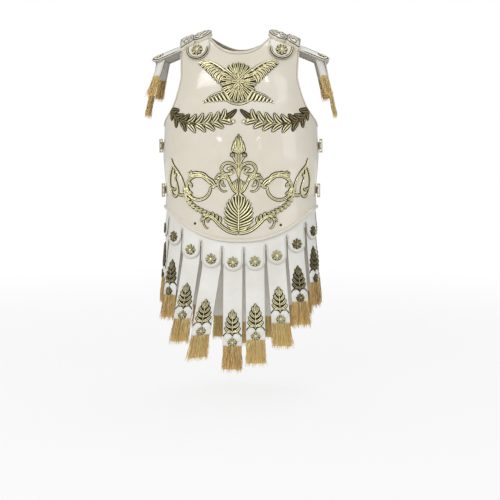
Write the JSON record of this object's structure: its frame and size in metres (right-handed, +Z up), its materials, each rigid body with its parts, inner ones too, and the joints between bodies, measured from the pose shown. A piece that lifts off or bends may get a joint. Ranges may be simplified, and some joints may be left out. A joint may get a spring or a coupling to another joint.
{
  "type": "muscle cuirass",
  "caption": "Ivory muscle cuirass with gilded relief, hinged at the shoulders and strapped at the sides, with a skirt of leather tongues and fringed straps.",
  "frame": {"origin": "midway between the shoulders, on the seam plane, level with the highest point of the shoulder ridge, where the wearer's shoulders carry it", "axes": "+Z up, -Y towards the front that the wearer's chest faces, +X to the right of a viewer who faces the front"},
  "size_m": [0.5142, 0.2721, 0.8867],
  "materials": {
    "ivory_lacquer": "high gloss ivory lacquer",
    "white_leather": "white leather with tooled gold borders and tan fringe",
    "gilt_brass": "aged gold with dark brown in the recesses",
    "steel": "satin"
  },
  "bodies": {
    "back": {"backplate": "ivory_lacquer", "back_tongue_band": "white_leather", "back_strap_band": "white_leather", "hinge_leaf_left": "gilt_brass", "hinge_pin_left": "steel", "back_arm_tongue_left": "white_leather", "side_strap_left_1": "white_leather", "side_strap_left_2": "white_leather", "hinge_leaf_right": "gilt_brass", "hinge_pin_right": "steel", "back_arm_tongue_right": "white_leather", "side_strap_right_1": "white_leather", "side_strap_right_2": "white_leather"},
    "front": {"breastplate": "ivory_lacquer", "chest_emblem": "gilt_brass", "waist_scrollwork": "gilt_brass", "front_tongue_band": "white_leather", "front_strap_band": "white_leather", "laurel_left": "gilt_brass", "shoulder_guard_left": "ivory_lacquer", "chest_tongue_left": "white_leather", "front_arm_tongue_left": "white_leather", "side_loop_left_1": "gilt_brass", "side_loop_left_2": "gilt_brass", "laurel_right": "gilt_brass", "shoulder_guard_right": "ivory_lacquer", "chest_tongue_right": "white_leather", "front_arm_tongue_right": "white_leather", "side_loop_right_1": "gilt_brass", "side_loop_right_2": "gilt_brass"},
    "front_strap_1": {"front_strap_1": "white_leather"},
    "front_strap_2": {"front_strap_2": "white_leather"},
    "front_strap_3": {"front_strap_3": "white_leather"},
    "front_strap_4": {"front_strap_4": "white_leather"},
    "front_strap_5": {"front_strap_5": "white_leather"},
    "front_strap_6": {"front_strap_6": "white_leather"},
    "front_strap_7": {"front_strap_7": "white_leather"},
    "front_strap_8": {"front_strap_8": "white_leather"},
    "front_strap_9": {"front_strap_9": "white_leather"},
    "front_arm_strap_left_1": {"front_arm_strap_left_1": "white_leather"},
    "front_arm_strap_left_2": {"front_arm_strap_left_2": "white_leather"},
    "front_arm_strap_right_1": {"front_arm_strap_right_1": "white_leather"},
    "front_arm_strap_right_2": {"front_arm_strap_right_2": "white_leather"},
    "back_strap_1": {"back_strap_1": "white_leather"},
    "back_strap_2": {"back_strap_2": "white_leather"},
    "back_strap_3": {"back_strap_3": "white_leather"},
    "back_strap_4": {"back_strap_4": "white_leather"},
    "back_strap_5": {"back_strap_5": "white_leather"},
    "back_strap_6": {"back_strap_6": "white_leather"},
    "back_strap_7": {"back_strap_7": "white_leather"},
    "back_strap_8": {"back_strap_8": "white_leather"},
    "back_strap_9": {"back_strap_9": "white_leather"},
    "back_arm_strap_left_1": {"back_arm_strap_left_1": "white_leather"},
    "back_arm_strap_left_2": {"back_arm_strap_left_2": "white_leather"},
    "back_arm_strap_right_1": {"back_arm_strap_right_1": "white_leather"},
    "back_arm_strap_right_2": {"back_arm_strap_right_2": "white_leather"}
  },
  "joints": [
    {"name": "front_swing", "type": "hinge", "parent": "back", "child": "front", "pos_m": [0, 0.016, 0.004], "axis": [-1, 0, 0], "range_deg": [0, 60]},
    {"name": "front_strap_1_swing", "type": "hinge", "parent": "front", "child": "front_strap_1", "pos_m": [-0.19974, -0.02822, -0.53147], "axis": [-0.2372, 0.9715, 0], "range_deg": [0, 60]},
    {"name": "front_strap_2_swing", "type": "hinge", "parent": "front", "child": "front_strap_2", "pos_m": [-0.17207, -0.07459, -0.55034], "axis": [-0.7607, 0.6491, 0], "range_deg": [0, 60]},
    {"name": "front_strap_3_swing", "type": "hinge", "parent": "front", "child": "front_strap_3", "pos_m": [-0.12514, -0.10329, -0.58203], "axis": [-0.9429, 0.333, 0], "range_deg": [0, 60]},
    {"name": "front_strap_4_swing", "type": "hinge", "parent": "front", "child": "front_strap_4", "pos_m": [-0.07108, -0.11768, -0.60452], "axis": [-0.991, 0.134, 0], "range_deg": [0, 60]},
    {"name": "front_strap_5_swing", "type": "hinge", "parent": "front", "child": "front_strap_5", "pos_m": [-0.01489, -0.12212, -0.61231], "axis": [-0.9999, 0.0145, 0], "range_deg": [0, 60]},
    {"name": "front_strap_6_swing", "type": "hinge", "parent": "front", "child": "front_strap_6", "pos_m": [0.0419, -0.12096, -0.61025], "axis": [-0.9981, -0.0622, 0], "range_deg": [0, 60]},
    {"name": "front_strap_7_swing", "type": "hinge", "parent": "front", "child": "front_strap_7", "pos_m": [0.09758, -0.11225, -0.59553], "axis": [-0.9759, -0.2184, 0], "range_deg": [0, 60]},
    {"name": "front_strap_8_swing", "type": "hinge", "parent": "front", "child": "front_strap_8", "pos_m": [0.14886, -0.09172, -0.56713], "axis": [-0.8847, -0.4661, 0], "range_deg": [0, 60]},
    {"name": "front_strap_9_swing", "type": "hinge", "parent": "front", "child": "front_strap_9", "pos_m": [0.19094, -0.05087, -0.53664], "axis": [-0.5123, -0.8588, 0], "range_deg": [0, 60]},
    {"name": "front_arm_strap_left_1_swing", "type": "hinge", "parent": "front", "child": "front_arm_strap_left_1", "pos_m": [-0.20427, -0.03889, -0.06142], "axis": [-0.8373, 0.5465, -0.0174], "range_deg": [0, 18]},
    {"name": "front_arm_strap_left_2_swing", "type": "hinge", "parent": "front", "child": "front_arm_strap_left_2", "pos_m": [-0.2198, -0.01866, -0.06003], "axis": [-0.1368, 0.9748, 0.1763], "range_deg": [0, 18]},
    {"name": "front_arm_strap_right_1_swing", "type": "hinge", "parent": "front", "child": "front_arm_strap_right_1", "pos_m": [0.20427, -0.03889, -0.06142], "axis": [-0.8373, -0.5465, 0.0174], "range_deg": [0, 18]},
    {"name": "front_arm_strap_right_2_swing", "type": "hinge", "parent": "front", "child": "front_arm_strap_right_2", "pos_m": [0.2198, -0.01866, -0.06003], "axis": [-0.1368, -0.9748, -0.1763], "range_deg": [0, 18]},
    {"name": "back_strap_1_swing", "type": "hinge", "parent": "back", "child": "back_strap_1", "pos_m": [-0.19783, 0.02912, -0.53166], "axis": [0.373, 0.9278, 0], "range_deg": [0, 60]},
    {"name": "back_strap_2_swing", "type": "hinge", "parent": "back", "child": "back_strap_2", "pos_m": [-0.16146, 0.06871, -0.54709], "axis": [0.8705, 0.4922, 0], "range_deg": [0, 60]},
    {"name": "back_strap_3_swing", "type": "hinge", "parent": "back", "child": "back_strap_3", "pos_m": [-0.11061, 0.08917, -0.5663], "axis": [0.9734, 0.229, 0], "range_deg": [0, 60]},
    {"name": "back_strap_4_swing", "type": "hinge", "parent": "back", "child": "back_strap_4", "pos_m": [-0.05585, 0.09827, -0.57769], "axis": [0.9968, 0.0795, 0], "range_deg": [0, 60]},
    {"name": "back_strap_5_swing", "type": "hinge", "parent": "back", "child": "back_strap_5", "pos_m": [0, 0.10033, -0.5805], "axis": [1, 0, 0], "range_deg": [0, 60]},
    {"name": "back_strap_6_swing", "type": "hinge", "parent": "back", "child": "back_strap_6", "pos_m": [0.05585, 0.09827, -0.57769], "axis": [0.9968, -0.0795, 0], "range_deg": [0, 60]},
    {"name": "back_strap_7_swing", "type": "hinge", "parent": "back", "child": "back_strap_7", "pos_m": [0.11061, 0.08917, -0.5663], "axis": [0.9734, -0.229, 0], "range_deg": [0, 60]},
    {"name": "back_strap_8_swing", "type": "hinge", "parent": "back", "child": "back_strap_8", "pos_m": [0.16146, 0.06871, -0.54709], "axis": [0.8705, -0.4922, 0], "range_deg": [0, 60]},
    {"name": "back_strap_9_swing", "type": "hinge", "parent": "back", "child": "back_strap_9", "pos_m": [0.19783, 0.02912, -0.53166], "axis": [0.373, -0.9278, 0], "range_deg": [0, 60]},
    {"name": "back_arm_strap_left_1_swing", "type": "hinge", "parent": "back", "child": "back_arm_strap_left_1", "pos_m": [-0.20425, 0.03896, -0.06437], "axis": [0.8348, 0.545, -0.0783], "range_deg": [0, 18]},
    {"name": "back_arm_strap_left_2_swing", "type": "hinge", "parent": "back", "child": "back_arm_strap_left_2", "pos_m": [-0.2198, 0.0187, -0.06079], "axis": [0.1352, 0.9626, -0.2347], "range_deg": [0, 18]},
    {"name": "back_arm_strap_right_1_swing", "type": "hinge", "parent": "back", "child": "back_arm_strap_right_1", "pos_m": [0.20425, 0.03896, -0.06437], "axis": [0.8348, -0.545, 0.0783], "range_deg": [0, 18]},
    {"name": "back_arm_strap_right_2_swing", "type": "hinge", "parent": "back", "child": "back_arm_strap_right_2", "pos_m": [0.2198, 0.0187, -0.06079], "axis": [0.1352, -0.9626, 0.2347], "range_deg": [0, 18]}
  ]
}
